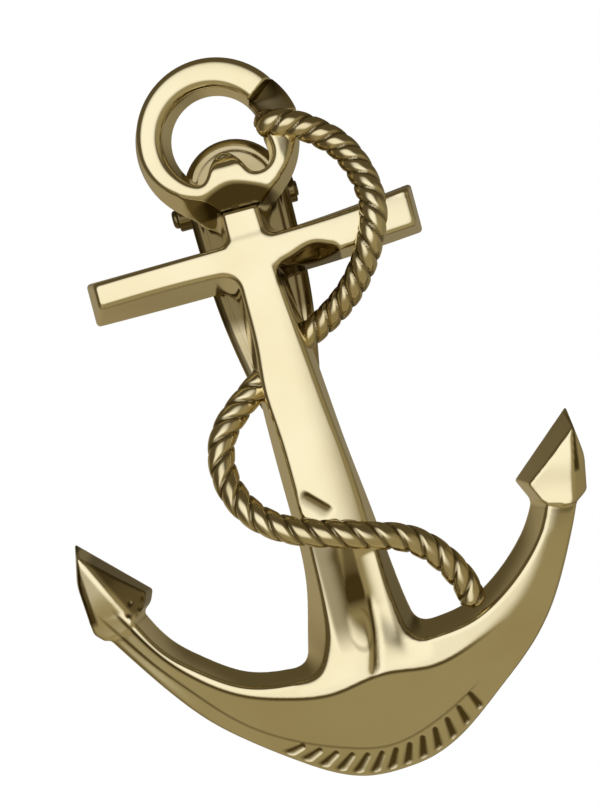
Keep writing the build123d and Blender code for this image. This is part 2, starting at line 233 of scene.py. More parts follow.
RING_JOINT = 0.7
FLUKE_JOINT = 0.25
FLUKE_EDGE = 0.14


def depth_share(y):
    """0 at the casting's front and 1 at its back."""
    return (y - FRONT_Y) / (BACK_Y - FRONT_Y)


def wall(front_curve, back_curve, u, v, share):
    """Distance above a wall that leans from its front outline to its back one."""
    return (1 - share) * front_curve.above(u, v) + share * back_curve.above(u, v)


def stock_sides(x, z, s):
    """The bar across the anchor, with an arch cut in the foot of its right half."""
    bar = meet(
        EDGE,
        wall(STOCK_TOP, STOCK_TOP_BACK, x, z, s),
        -wall(STOCK_FOOT, STOCK_FOOT_BACK, x, z, s),
        STOCK_ENDS_X[0] - x - STOCK_END_LEANS[0] * s,
        x - STOCK_ENDS_X[1] - STOCK_END_LEANS[1] * s)
    arch_drop = 1.15 * ramp(s, -0.1, 0.75) + 0.35 * s
    return smooth_max(bar, -ARCH.above(x, z + arch_drop), 0.1)


def shank_sides(x, z, s):
    return meet(
        EDGE,
        -wall(SHANK_LEFT, SHANK_LEFT_BACK, z, x, s),
        wall(SHANK_RIGHT, SHANK_RIGHT_BACK, z, x, s),
        z - SHANK_TOP_Z,
        SHANK_FOOT_Z - z)


def arm_sides(x, z, s):
    inner_lean = (0.15 * s + 0.3 * s**2) * (1 + 0.5 * ramp(x, -2, 6))
    return meet(
        EDGE,
        ARM_INNER.above(x, z) - inner_lean,
        -ARM_OUTER.above(x, z),
        z - np.where(x < 0, LEFT_ARM_END_Z, RIGHT_ARM_END_Z))


def ring_sides(x, z, y):
    """The ring's outline, with the tongue and the floor of its hole."""
    r = np.hypot(x - RING_X, z - RING_Z)
    s = np.clip((y - RING_FRONT_Y) / (RING_BACK_Y - RING_FRONT_Y), 0, 1.2)
    low = np.clip((RING_Z - z) / np.maximum(r, 0.01), 0, 1)**2
    front_narrowing = low * (0.5 + 0.75 * ramp(-x, -1, 1))
    outer = r - (RING_FRONT_R - front_narrowing * (1 - s) + RING_LEAN * s)
    hole_r = np.hypot(x - RING_X + HOLE_SHIFT * (1 - s), z - RING_Z)
    main_hole = hole_r - (HOLE_FRONT_R - HOLE_LEAN * s)
    side_hole_r = np.hypot(x - SIDE_HOLE_CENTRE[0], z - SIDE_HOLE_CENTRE[1])
    side_hole = side_hole_r - (SIDE_HOLE_FRONT_R - SIDE_HOLE_LEAN * s)
    hole = smooth_min(main_hole, side_hole, 0.6)
    band = smooth_max(outer, -hole, EDGE)
    tongue_sides = np.abs(x - RING_X) - TONGUE_HALF_WIDTH
    floor = meet(0.2, TONGUE.above(x, z) - 0.12 * s, outer, tongue_sides)
    return smooth_min(band, floor, 0.2)


# ---- Casting: relief of the front -----------------------------
SHANK_CROWN = 0.05                   # fall at one millimetre from the shank's middle line
STOCK_CROWN = 0.05
RING_CROWN = 0.05                    # fall at RING_CROWN_REACH from the band's middle
RING_CROWN_REACH = 0.7
RING_CROWN_LIMIT = 0.5
NECK_STEP = 0.08
FOOT_VALLEY_DEPTH = 0.55             # of the valley down the shank's foot
CREASE = Smooth((-26.6, 0.6), (-25.5, 0.95), (-23.5, 1.35), (-21.5, 1.45))
CREASE_DEPTH = 0.15
NICK = ((-0.5, -14.6), (0.85, -15.95))
NICK_DEPTH = 0.12
SADDLE_TOP = Smooth((-2.6, 4.25), (-1.6, 4.6), (-0.3, 4.98), (1.0, 4.65), (2.0, 4.2), (2.6, 3.9))
SADDLE_SLOPE = 0.45
TILT_LINE = ((3.7, 4.2), (2.75, 7.5))    # right of it the ring's front falls away
TILT_SLOPE = 0.18
HITCH_FROM = 4                       # degrees round the ring from +X
HITCH_TO = 34
HITCH_SEAT_DEPTH = 0.7
NOTCHES_X = (-5.5, 6.3)              # places of the first and last notch
NOTCH_COUNT = 13
NOTCH_HALF_LENGTH = 0.7
NOTCH_DEPTH = 0.15
CREST_STEP = 0.07
RIM_STEP = 0.07
RIGHT_ARM_SINK = 0.28                # the right arm's front sinks into the fluke


def below_saddle(x, z):
    return SADDLE_TOP.value(x) - z


def below_nick(x, z):
    """Distance to the lower left of the nick's sharp edge, and 0 to 1 along the edge."""
    share = share_along(x, z, *NICK)
    return -half_plane(x, z, NICK[1], NICK[0]), window(share, -0.25, 0.1, 0.8, 1.1) * ramp(z, -17.5, -17.0)


def notches(x, z):
    """0 to 1 in a row of short slanting cuts along the arms' outer rim; they turn as they go."""
    deepest = 0.0
    for notch_x in np.linspace(*NOTCHES_X, NOTCH_COUNT):
        middle_z = 0.45 * ARM_RIM.value(notch_x) + 0.55 * ARM_OUTER.value(notch_x)
        along, across = turned(x, z, (notch_x, middle_z), math.radians(60 + 8.5 * notch_x))
        width = np.maximum(0.24 - 0.1 * along, 0.08)
        ends = 1 - ramp(np.abs(along), NOTCH_HALF_LENGTH, NOTCH_HALF_LENGTH + 0.25)
        deepest = np.maximum(deepest, soft_line(across, width) * ends)
    return deepest * ramp(ARM_OUTER.above(x, z), 0.1, 0.5)


def arms_relief(x, z):
    """The arms are flat above the crest and fall away below it, with a fine step at each of two
    lines and slanting cuts along the outer rim. The lines fade out along the right arm."""
    below_crest = -ARM_CREST.above(x, z)
    below_rim = -ARM_RIM.above(x, z)
    to_the_right = ramp(x, 5.5, 9.5)
    fall = (0.3 - 0.08 * to_the_right) * soft_positive(below_crest, 0.1 + 0.4 * to_the_right)
    fall -= 0.02 * soft_positive(below_rim, 0.1)
    steps = CREST_STEP * ramp(below_crest, 0, 0.13) + RIM_STEP * ramp(below_rim, 0, 0.16)
    fall += steps * (1 - to_the_right) + NOTCH_DEPTH * notches(x, z)
    sink = RIGHT_ARM_SINK * ramp(z, -21.0, -18.6) * ramp(x, 10.5, 12.0)
    return fall * ramp(-z, 16.5, 17.5) + sink


def shank_relief(x, z):
    """The shank's crown, the valley and crease in its foot, and the nick above the rope."""
    on_shank = window(-z, 0.5, 3.0, 24.5, 26.5) * (1 - ramp(np.abs(x), 2.6, 4.5))
    crown = SHANK_CROWN * (x - 0.3)**2 * on_shank
    valley = FOOT_VALLEY_DEPTH * soft_line(x - 1.8, 1.6) * window(-z, 17.8, 19.4, 22.4, 25.3)
    crease = CREASE_DEPTH * soft_line(x - CREASE.value(z), 0.26) * window(-z, 21.5, 23, 26.0, 26.7)
    below, along = below_nick(x, z)
    nick = NICK_DEPTH * window(below, -0.1, 0.3, 0.4, 1.5) * along
    return crown + valley + crease + nick


def stock_relief(x, z):
    """The stock's crown, which stops at the shank, and the step down to the neck."""
    on_stock = (1 - ramp(-z, 0.9, 2.5)) * (1 - ramp(z, 1.3, 1.6)) * ramp(np.abs(x), 0.9, 2.4)
    return STOCK_CROWN * (z - 0.25)**2 * on_stock + NECK_STEP * ramp(STOCK_TOP.above(x, z), -0.1, 0.6)


def ring_relief(x, z):
    """The ring's crown, the scooped saddle at its foot, its tilted lower right and the seat that
    the rope's hitch lies in."""
    scoop = SADDLE_SLOPE * soft_positive(below_saddle(x, z), 0.1) * ramp(z, 2.95, 3.35)
    scoop = scoop * (1 - ramp(np.abs(x + 0.05), 1.7, 2.7))
    tilt = TILT_SLOPE * soft_positive(half_plane(x, z, *TILT_LINE), 0.1) * window(z, 2.6, 3.6, 7.6, 8.6)
    off_band = (np.hypot(x - RING_X, z - RING_Z) - RING_BAND_R) / RING_CROWN_REACH
    crown = np.minimum(RING_CROWN * off_band**2 * ramp(z, 5.6, 7.0), RING_CROWN_LIMIT)
    turn = np.degrees(np.arctan2(z - RING_Z, x - RING_X))
    in_seat = window(turn, HITCH_FROM - 6, HITCH_FROM, HITCH_TO - 3, HITCH_TO + 1) * ramp(x, 1.0, 2.0)
    return scoop + tilt + crown + HITCH_SEAT_DEPTH * in_seat


def front_y(x, z):
    """Y of the casting's front, which every relief sets back from its flat front face."""
    return FRONT_Y + shank_relief(x, z) + stock_relief(x, z) + ring_relief(x, z) + arms_relief(x, z)


# ---- Casting: flukes ------------------------------------------
# Corners run from the tip round by the inner barb, at the back, and each wall leans in towards
# the front. The ridge runs from near the tip to the root, with a facet on each side.
FLUKE_RIDGE_Y = -1.6
FLUKE_RIDGE_FALL = 0.25              # towards the root
LEFT_FLUKE = [(-15.5, -14.2), (-11.45, -18.2), (-11.75, -18.95), (-13.4, -20.3), (-15.0, -20.55),
              (-15.85, -19.7), (-16.05, -16.8)]
LEFT_LEANS = [0.1, 0.3, 0.2, 0.2, 0.35, 0.6, 0.55]
LEFT_RIDGE = ((-15.15, -14.7), (-12.9, -19.4))
LEFT_FACET_SLOPES = (0.5, 0.26)      # inner and outer
LEFT_FACET_EDGE = ((-14.85, -19.2), (-15.05, -14.8))
RIGHT_FLUKE = [(16.55, -13.75), (12.25, -17.45), (13.0, -19.1), (14.6, -19.7), (15.7, -19.5),
               (16.5, -18.95), (16.9, -16.8)]
RIGHT_LEANS = [0.5, 0.3, 0.2, 0.2, 0.3, 0.5, 0.5]
RIGHT_RIDGE = ((16.1, -14.4), (15.2, -18.6))
RIGHT_FACET_SLOPES = (0.13, 0.6)
PITS = (((-12.75, -18.4), 0.17), ((-12.25, -18.95), 0.24), ((-11.95, -18.35), 0.19),
        ((-12.95, -19.1), 0.15))     # places and radii of casting flaws by the left fluke's root
PIT_DEPTH = 0.09


def pits(x, z):
    """0 to 1 in the small casting flaws."""
    return sum(soft_line(np.hypot(x - place[0], z - place[1]), radius) for place, radius in PITS)


def fluke(x, y, z, side, corners, leans, ridge, facet_slopes):
    """An arrowhead. side is -1 for the left one and 1 for the right one."""
    front_share = 1 - depth_share(y)
    walls = []
    for start, end, lean in zip(corners, corners[1:] + corners[:1], leans):
        walls.append(side * half_plane(x, z, start, end) + lean * front_share)
    away = side * half_plane(x, z, *ridge)
    ridge_y = (FLUKE_RIDGE_Y + FLUKE_RIDGE_FALL * ramp(share_along(x, z, *ridge), 0.5, 1.1)
               + PIT_DEPTH * pits(x, z))
    inner_facet = ridge_y + facet_slopes[0] * away
    outer_facet = ridge_y - facet_slopes[1] * away
    return meet(FLUKE_EDGE, *walls, inner_facet - y, outer_facet - y, y - BACK_Y)


def casting(x, y, z):
    """The whole casting, before it is cut into body, ring and flukes."""
    s = depth_share(y)
    corner = 0.25 + ramp(-z, -0.6, 0.6) * (1 - ramp(x, -0.5, 0.8)) + 0.5 * ramp(z, 0.6, 1.2)
    sides = smooth_min(stock_sides(x, z, s), shank_sides(x, z, s), corner)
    sides = smooth_min(sides, arm_sides(x, z, s), ARM_JOINT)
    sides = smooth_min(sides, ring_sides(x, z, y), RING_JOINT)
    edge = EDGE + (RING_EDGE - EDGE) * ramp(z, 4.5, 6.5)
    back_y = BACK_Y + (RING_BACK_Y - BACK_Y) * ramp(z, 2.4, 3.6)
    body = smooth_max(smooth_max(sides, front_y(x, z) - y, edge), y - back_y, BACK_EDGE)
    left = fluke(x, y, z, -1, LEFT_FLUKE, LEFT_LEANS, LEFT_RIDGE, LEFT_FACET_SLOPES)
    right = fluke(x, y, z, 1, RIGHT_FLUKE, RIGHT_LEANS, RIGHT_RIDGE, RIGHT_FACET_SLOPES)
    return smooth_min(smooth_min(body, left, FLUKE_JOINT), right, FLUKE_JOINT)


# ---- Casting: painted shade -----------------------------------
# Each of these is 0 on bright metal and up to 1 where shade or a dark reflection is painted into the colour.
def neck_shade(x, z):
    """Painted shade in the saddle below the ring, which faces down, and in the arch under the stock."""
    saddle = ramp(below_saddle(x, z), 0, 0.5) * ramp(z, 2.95, 3.2) * (1 - 0.7 * ramp(np.abs(x), 1.2, 3.0))
    arch = ramp(-ARCH.above(x, z), 0, 0.15) * window(x, 0.8, 1.3, 5.3, 6.0) * window(z, -2.4, -1.8, 0.2, 0.4)
    return np.maximum(saddle, arch)


def shank_foot_shade(x, z):
    """Painted shade and dark reflections in the pit at the top of the valley, round the bright spot below
    it, in the dull strips beside them and along the crease."""
    pit_left = 0.15 + 0.17 * (z + 19.3)
    pit = ramp(x - pit_left, 0, 0.55) * (1 - ramp(x, 1.2, 1.45)) * window(-z, 17, 18, 21.4, 23.3)
    pit = pit * (0.55 + 0.4 * soft_line(z + 21.2, 1.0))
    around_spot = np.hypot((x - 0.5) / 0.75, (z + 23.5) / 1.3)
    spot_edge = 0.4 * soft_line(around_spot - 1, 0.2) * ramp(-z, 21.8, 22.4)
    strip_right = 0.2 - 0.5 * ramp(-z, 21.5, 23)
    across_strip = ramp(x, -1.25, -0.9) * (1 - ramp(x - strip_right, 0, 0.45))
    strip = 0.62 * across_strip * window(-z, 17, 18, 22.8, 25.6)
    flank = 0.55 * window(x, 2.35, 2.7, 4.0, 4.4) * window(-z, 18, 19, 24.3, 25.2)
    crease = 0.85 * soft_line(x - CREASE.value(z), 0.17) * window(-z, 21.3, 22.2, 26.0, 26.7)
    return np.maximum.reduce([pit, spot_edge, strip, flank, crease])


# Painted shade on the facet below the nick's sharp edge.
def nick_shade(x, z):
    below, along = below_nick(x, z)
    return (0.5 * window(below, -0.05, 0.12, 0.2, 0.7) + 0.42 * window(below, -0.1, 0.15, 0.6, 1.15)) * along


def arms_shade(x, z):
    """Painted shade along the arms' two lines and in the notches."""
    below_crest = -ARM_CREST.above(x, z)
    below_rim = -ARM_RIM.above(x, z)
    lines = (0.75 * soft_line(below_crest - 0.05, 0.13) * (1 - 0.8 * ramp(x, 5, 9))
             + 0.5 * soft_line(below_rim - 0.05, 0.11) * (1 - ramp(x, 5.5, 7.5)))
    return np.maximum(lines, notches(x, z)) * ramp(-z, 18.0, 19.5)


def fluke_shade(x, z):
    """Painted shade on the left fluke's outer edge, on its inner facet, which faces away from the light,
    and in its pits, and in a sliver beside the right fluke's ridge."""
    on_left = ramp(-x, 11.0, 11.2) * ramp(z, -19.6, -18.9)
    outer_edge = 0.8 * ramp(-half_plane(x, z, *LEFT_FACET_EDGE), -0.05, 0.15)
    inner_facet = 0.62 * ramp(-half_plane(x, z, *LEFT_RIDGE), 0.15, 0.45)
    right_of_ridge = -half_plane(x, z, *RIGHT_RIDGE)
    widening = -0.1 * (z + 14.6)
    sliver = 0.75 * window(right_of_ridge, 0.02, 0.12, 0.08 + widening, 0.25 + widening)
    sliver = sliver * ramp(x, 14.6, 15.0) * (1 - ramp(-z, 17.4, 17.8))
    return np.maximum.reduce([(outer_edge + inner_facet) * on_left, sliver, 0.9 * pits(x, z)])


def painted_shade(x, z):
    """Painted shade on the casting's front."""
    parts = [part(x, z) for part in (neck_shade, shank_foot_shade, nick_shade, arms_shade, fluke_shade)]
    return np.clip(np.maximum.reduce(parts), 0, 1)


# ---- Meshing --------------------------------------------------
def cell_vertices(values, mixed):
    """Mean of the crossings on the twelve edges of every mixed cell, in grid units."""
    shape = mixed.shape
    total = np.zeros(shape + (3,))
    count = np.zeros(shape)
    for axis in range(3):
        others = [a for a in range(3) if a != axis]
        for first in (0, 1):
            for second in (0, 1):
                low = [0, 0, 0]
                low[others[0]] = first
                low[others[1]] = second
                high = list(low)
                high[axis] = 1
                a = values[tuple(slice(o, o + n) for o, n in zip(low, shape))]
                b = values[tuple(slice(o, o + n) for o, n in zip(high, shape))]
                crossing = (a < 0) != (b < 0)
                t = np.where(crossing, a / np.where(crossing, a - b, 1), 0)
                for k in range(3):
                    total[..., k] += np.where(crossing, low[k] + (t if k == axis else 0), 0)
                count += crossing
    places = np.argwhere(mixed)
    return places + total[mixed] / count[mixed][:, None]


def net_faces(values, index):
    """One quad round every grid edge whose ends differ in sign."""
    quads = []
    for axis in range(3):
        one, two = [(1, 2), (2, 0), (0, 1)][axis]
        inner = [slice(1, -1)] * 3
        inner[axis] = slice(None, -1)
        beyond = list(inner)
        beyond[axis] = slice(1, None)
        a = values[tuple(inner)] < 0
        b = values[tuple(beyond)] < 0
        for wanted, order in ((a & ~b, (0, 1, 2, 3)), (b & ~a, (3, 2, 1, 0))):
            at = np.argwhere(wanted)
            at[:, one] += 1
            at[:, two] += 1
            ring_of_cells = []
            for step_one, step_two in ((-1, -1), (0, -1), (0, 0), (-1, 0)):
                cell = at.copy()
                cell[:, one] += step_one
                cell[:, two] += step_two
                ring_of_cells.append(index[cell[:, 0], cell[:, 1], cell[:, 2]])
            quads.append(np.stack([ring_of_cells[k] for k in order], axis=1))
    return np.concatenate(quads)


def gradient(field, points, reach):
    """The field's slopes along X, Y and Z at each point."""
    x, y, z = points.T
    return np.stack([
        field(x + reach, y, z) - field(x - reach, y, z),
        field(x, y + reach, z) - field(x, y - reach, z),
        field(x, y, z + reach) - field(x, y, z - reach),
    ], axis=1) / (2 * reach)


def settle(field, points, rounds=3, reach=0.02):
    """Moves points along the field's gradient until they lie on its surface."""
    for _ in range(rounds):
        slopes = gradient(field, points, reach)
        size = np.maximum((slopes**2).sum(axis=1), 0.05)
        points = points - np.clip(field(*points.T) / size, -0.1, 0.1)[:, None] * slopes
    return points


def hollowness(field, points, look_out=0.55, reach=0.03):
    """0 on flat or convex places, and up to 1 in deep hollows and corners."""
    slopes = gradient(field, points, reach)
    size = np.maximum(np.linalg.norm(slopes, axis=1), 1e-5)
    out = points + slopes / size[:, None] * look_out
    return np.clip(1 - field(*out.T) / (look_out * size), 0, 1)


def skin(field, low, high, step):
    """Vertices and quads of the field's zero surface."""
    axes = [np.arange(a - 2 * step, b + 3 * step, step) for a, b in zip(low, high)]
    values = field(axes[0][:, None, None], axes[1][None, :, None], axes[2][None, None, :])
    inside = (values < 0).astype(np.int8)
    corners = sum(
        inside[i:i + inside.shape[0] - 1, j:j + inside.shape[1] - 1, k:k + inside.shape[2] - 1]
        for i in (0, 1) for j in (0, 1) for k in (0, 1))
    mixed = (corners > 0) & (corners < 8)
    index = np.full(mixed.shape, -1)
    index[mixed] = np.arange(mixed.sum())
    start = np.array([axis[0] for axis in axes])
    points = start + cell_vertices(values, mixed) * step
    return settle(field, points), net_faces(values, index).tolist()


def smooth_mesh(name, points, faces, patina_and_shade):
    """A smooth-shaded mesh from drawing-frame millimetres, with the patina and painted shade at each point.
    """
    mesh = bpy.data.meshes.new(name)
    places = (points + np.array(ORIGIN)) * MM
    mesh.from_pydata(places.tolist(), [], faces)
    mesh.polygons.foreach_set("use_smooth", [True] * len(mesh.polygons))
    mesh.attributes.new("patina_and_shade", "FLOAT", "POINT").data.foreach_set("value", patina_and_shade)
    mesh.update()
    return mesh


def split_off(mesh, name, start, end, is_near):
    """Cuts off the part of a mesh that lies right of the upright plane from start to end, and
    near enough for is_near, and returns it. Both meshes get closed, sharp-edged ends."""
    origin = (Vector((start[0], 0, start[1])) + ORIGIN) * MM
    normal = Vector((end[1] - start[1], 0, start[0] - end[0])).normalized()

    def near(face):
        return is_near(face.calc_center_median() / MM - ORIGIN)

    def far_side(face):
        return near(face) and (face.calc_center_median() - origin).dot(normal) > 0

    whole = bmesh.new()
    whole.from_mesh(mesh)
    touched = [f for f in whole.faces if near(f)]
    edges = list({e for f in touched for e in f.edges})
    verts = list({v for f in touched for v in f.verts})
    bmesh.ops.bisect_plane(whole, geom=verts + edges + touched, plane_co=origin, plane_no=normal, dist=1e-7)
    other = whole.copy()
    bmesh.ops.delete(whole, geom=[f for f in whole.faces if far_side(f)], context="FACES")
    bmesh.ops.delete(other, geom=[f for f in other.faces if not far_side(f)], context="FACES")
    part = bpy.data.meshes.new(name)
    for cut, target in ((whole, mesh), (other, part)):
        rim = [e for e in cut.edges if e.is_boundary]
        caps = bmesh.ops.holes_fill(cut, edges=rim, sides=0)["faces"]
        for face in caps:
            face.smooth = False
            for edge in face.edges:
                edge.smooth = False
        bmesh.ops.recalc_face_normals(cut, faces=cut.faces)
        cut.to_mesh(target)
        cut.free()
    return part


def add_piece(name, mesh, body, node, material):
    """Puts a finished mesh in the scene, in place of a CAD node."""
    piece = bpy.data.objects.new(name, mesh)
    bpy.context.scene.collection.objects.link(piece)
    mesh.materials.clear()
    mesh.materials.append(material)
    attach(piece, body)
    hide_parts(node)
    return piece


# ---- Materials ------------------------------------------------
# brown of patina in hollows and of painted shade
PATINA_AND_SHADE_COLOUR = (0.17, 0.125, 0.05)
DRIFT_SCALE = 160          # noise scales, per metre
CLOUD_SCALE = 420
WAVE_SCALE = 240
SCRATCH_SCALE = 5200
WAVE_HEIGHT = 0.0001       # metres
SCRATCH_HEIGHT = 0.00001


def set_inputs(node, **values):
    for name, value in values.items():
        node.inputs[name.replace("_", " ")].default_value = value


def brass(name, light, dark, roughness, wave_strength):
    """Polished brass: slow colour drift, cloudy polish, soft casting waves and fine scratches, and
    brown patina and painted shade in the hollows, and painted shade where the metal faces away from the
    lights."""
    material = bpy.data.materials.new(name)
    material.use_nodes = True
    nodes = material.node_tree.nodes
    links = material.node_tree.links
    shader = nodes["Principled BSDF"]
    shader.inputs["Metallic"].default_value = 1.0
    place = nodes.new("ShaderNodeTexCoord")

    def noise(scale, detail, distortion=0.0):
        node = nodes.new("ShaderNodeTexNoise")
        set_inputs(node, Scale=scale, Detail=detail, Distortion=distortion)
        links.new(place.outputs["Object"], node.inputs["Vector"])
        return node

    def bump(height, strength, distance):
        node = nodes.new("ShaderNodeBump")
        set_inputs(node, Strength=strength, Distance=distance)
        links.new(height.outputs["Fac"], node.inputs["Height"])
        return node

    tone = nodes.new("ShaderNodeValToRGB")
    tone.color_ramp.elements[0].position = 0.34
    tone.color_ramp.elements[0].color = (*dark, 1)
    tone.color_ramp.elements[1].position = 0.62
    tone.color_ramp.elements[1].color = (*light, 1)
    links.new(noise(DRIFT_SCALE, 3, 0.4).outputs["Fac"], tone.inputs["Fac"])
    # patina and painted shade: an attribute of each mesh mixes the brown into the colour
    patina_and_shade = nodes.new("ShaderNodeAttribute")
    patina_and_shade.attribute_name = "patina_and_shade"
    share = nodes.new("ShaderNodeMapRange")
    set_inputs(share, From_Min=0.12, From_Max=0.75)
    links.new(patina_and_shade.outputs["Fac"], share.inputs["Value"])
    patina_and_shade_mix = nodes.new("ShaderNodeMix")
    patina_and_shade_mix.data_type = "RGBA"
    patina_and_shade_mix.inputs["B"].default_value = (*PATINA_AND_SHADE_COLOUR, 1)
    links.new(share.outputs["Result"], patina_and_shade_mix.inputs["Factor"])
    links.new(tone.outputs["Color"], patina_and_shade_mix.inputs["A"])
    links.new(patina_and_shade_mix.outputs["Result"], shader.inputs["Base Color"])

    haze = nodes.new("ShaderNodeMapRange")
    set_inputs(haze, From_Min=0.35, From_Max=0.75, To_Min=roughness[0], To_Max=roughness[1])
    links.new(noise(CLOUD_SCALE, 4).outputs["Fac"], haze.inputs["Value"])
    links.new(haze.outputs["Result"], shader.inputs["Roughness"])

    waves = bump(noise(WAVE_SCALE, 2), wave_strength, WAVE_HEIGHT)
    scratches = bump(noise(SCRATCH_SCALE, 2), 0.06, SCRATCH_HEIGHT)
    links.new(waves.outputs["Normal"], scratches.inputs["Normal"])
    links.new(scratches.outputs["Normal"], shader.inputs["Normal"])
    return material


polished = brass("polished_brass", (0.95, 0.86, 0.60), (0.90, 0.80, 0.53), (0.07, 0.14), 0.25)
rope_metal = brass("rope_brass", (0.93, 0.83, 0.56), (0.80, 0.68, 0.42), (0.12, 0.22), 0.2)
# The loop's brass is the casting's brass darkened: painted shade for the loop, which lies behind the
# casting.
shaded_loop_metal = brass("loop_brass", (0.68, 0.59, 0.38), (0.50, 0.41, 0.23), (0.14, 0.26), 0.2)

# ---- Casting pieces -------------------------------------------
CASTING_LOW = (-16.3, FRONT_Y - 0.4, -33.4)
CASTING_HIGH = (17.1, BACK_Y + 0.1, 13.0)
RING_SEAM = ((5, RING_FOOT_Z), (-5, RING_FOOT_Z))
LEFT_SEAM = ((-11.7, -19.15), (-15.2, -20.65))
RIGHT_SEAM = ((16.2, -19.55), (12.6, -19.1))


def build_casting():
    """Skins the casting in one go, so that its parts meet exactly, and cuts it at its seams."""
    points, faces = skin(casting, CASTING_LOW, CASTING_HIGH, MESH_STEP)
    # Patina and painted shade in hollows and corners, and the painted shade drawn above on the casting's
    # front.
    near_front = 1 - ramp(points[:, 1], 0.9, 1.2)
    patina_and_shade = np.maximum(hollowness(casting, points), painted_shade(points[:, 0], points[:, 2]) * near_front)
    body = smooth_mesh("anchor_body_surface", points, faces, patina_and_shade)
    ring = split_off(body, "anchor_ring_surface", *RING_SEAM, lambda p: abs(p.x) < 6 and p.z > 2)
    left = split_off(body, "left_fluke_surface", *LEFT_SEAM, lambda p: p.x < -11 and p.z > -21.5)
    right = split_off(body, "right_fluke_surface", *RIGHT_SEAM, lambda p: p.x > 11.8 and p.z > -20.5)
    for node, mesh in (
            ("anchor_body", body), ("anchor_ring", ring), ("left_fluke", left), ("right_fluke", right)):
        add_piece(node + "_skin", mesh, "anchor", node, polished)


build_casting()

# ---- Rope -----------------------------------------------------
ROPE_R = 0.86
STRAND_COUNT = 3
STRAND_FLATTENING = 0.05
GROOVE_DEPTH = 0.14
GROOVE_WIDTH = 0.22        # radians
# patina and painted shade in the rope's grooves
GROOVE_PATINA_AND_SHADE = 0.6
ROPE_ROUTE = [
    (2.40, -0.30, 7.85), (3.00, -0.85, 7.75), (3.90, -1.05, 7.50), (4.85, -1.05, 7.05),
    (5.80, -1.05, 6.35), (6.80, -1.15, 5.30), (7.50, -1.35, 3.85), (7.82, -1.70, 2.20),
    (7.70, -1.90, 0.60), (7.10, -1.75, -0.85), (6.10, -1.00, -2.45), (4.60, -0.05, -3.90),
    (2.90, 0.65, -4.90), (0.60, 0.85, -6.00), (-1.70, 0.70, -7.50), (-3.40, 0.35, -8.75),
    (-4.70, -0.05, -10.20), (-5.15, -0.40, -12.10), (-4.75, -0.90, -13.95), (-3.60, -1.35, -15.55),
    (-1.90, -1.70, -16.65), (0.40, -1.85, -17.45), (2.60, -1.70, -18.15), (4.70, -1.25, -18.95),
    (6.10, -0.95, -20.15), (7.05, -0.75, -21.60), (7.55, -0.60, -23.00), (7.60, -0.55, -24.20),
]
UPPER_LAY = -3.2           # length of one turn of the strands; negative turns left-handed
LOWER_LAY = 3.9
LAY_CHANGES_AT = 13        # the route point behind the shank where the lay changes
ROPE_END_LENGTH = 0.5      # over which each end rounds off
RINGS_PER_MM = 9
POINTS_ROUND = 54


def along_route(route, spacing):
    """Evenly spaced points on a smooth curve through the route, their distances along it, and
    the distances of the route's own points."""
    corners = np.array(route)
    chords = np.concatenate([[0], np.cumsum(np.linalg.norm(np.diff(corners, axis=0), axis=1))])
    lanes = [Smooth(*zip(chords, corners[:, k])) for k in range(3)]
    fine = np.linspace(0, chords[-1], 2000)
    line = np.stack([lane.value(fine) for lane in lanes], axis=1)
    length = np.concatenate([[0], np.cumsum(np.linalg.norm(np.diff(line, axis=0), axis=1))])
    even = np.linspace(0, length[-1], int(length[-1] / spacing) + 1)
    places = np.stack([np.interp(even, length, line[:, k]) for k in range(3)], axis=1)
    return places, even, np.interp(chords, fine, length)


def side_vectors(places):
    """Two vectors square to the line at each point, which turn no more than the line does."""
    tangents = np.gradient(places, axis=0)
    tangents /= np.linalg.norm(tangents, axis=1)[:, None]
    side = np.cross(tangents[0], (0, 1, 0))
    sides = []
    for tangent in tangents:
        side = side - tangent * side.dot(tangent)
        side /= np.linalg.norm(side)
        sides.append(side)
    sides = np.array(sides)
    return sides, np.cross(tangents, sides)


def strand_outline(angle):
    """Radius of the strands laid together: broad rounded tops with narrow grooves between them."""
    sector = 2 * math.pi / STRAND_COUNT
    off_top = (angle + sector / 2) % sector - sector / 2
    to_groove = sector / 2 - np.abs(off_top)
    return ROPE_R - STRAND_FLATTENING * off_top**2 - GROOVE_DEPTH * soft_line(to_groove, GROOVE_WIDTH)


def tube_faces(ring_count, around):
    """Quads between rings of points, and a cap at each end."""
    faces = []
    for i in range(ring_count - 1):
        for j in range(around):
            k = (j + 1) % around
            faces.append([i * around + j, i * around + k, (i + 1) * around + k, (i + 1) * around + j])
    faces.append(list(range(around))[::-1])
    faces.append(list(range((ring_count - 1) * around, ring_count * around)))
    return faces


def build_rope():
    places, length, corner_length = along_route(ROPE_ROUTE, 1 / RINGS_PER_MM)
    sides, ups = side_vectors(places)
    past_change = length - corner_length[LAY_CHANGES_AT]
    turns = np.where(past_change < 0, past_change / UPPER_LAY, past_change / LOWER_LAY)
    angle = np.linspace(0, 2 * math.pi, POINTS_ROUND, endpoint=False)
    radius = strand_outline(angle[None, :] - 2 * math.pi * turns[:, None])
    end_distance = np.minimum(length, length[-1] - length)
    taper = np.sqrt(np.clip(end_distance / ROPE_END_LENGTH, 0.02, 1))[:, None]
    across = (radius * taper * np.cos(angle))[..., None] * sides[:, None, :]
    along = (radius * taper * np.sin(angle))[..., None] * ups[:, None, :]
    surface = (places[:, None, :] + across + along).reshape(-1, 3)
    # Patina and painted shade in the grooves between the strands.
    patina_and_shade = GROOVE_PATINA_AND_SHADE * np.clip((ROPE_R - radius) / GROOVE_DEPTH, 0, 1)
    mesh = smooth_mesh("rope_surface", surface, tube_faces(len(places), POINTS_ROUND), patina_and_shade.ravel())
    add_piece("rope_strands", mesh, "anchor", "rope", rope_metal)


build_rope()

HITCH_INNER_R = 2.85
HITCH_OUTER_R = 5.0
HITCH_NOSE = 0.4           # the hitch reaches further into the ring's hole beside the rope
HITCH_FRONT_Y = -1.2
HITCH_SINK = 0.55          # its front falls back to the bare band by this much
HITCH_BACK_Y = 0.75
HITCH_STEP = 0.08


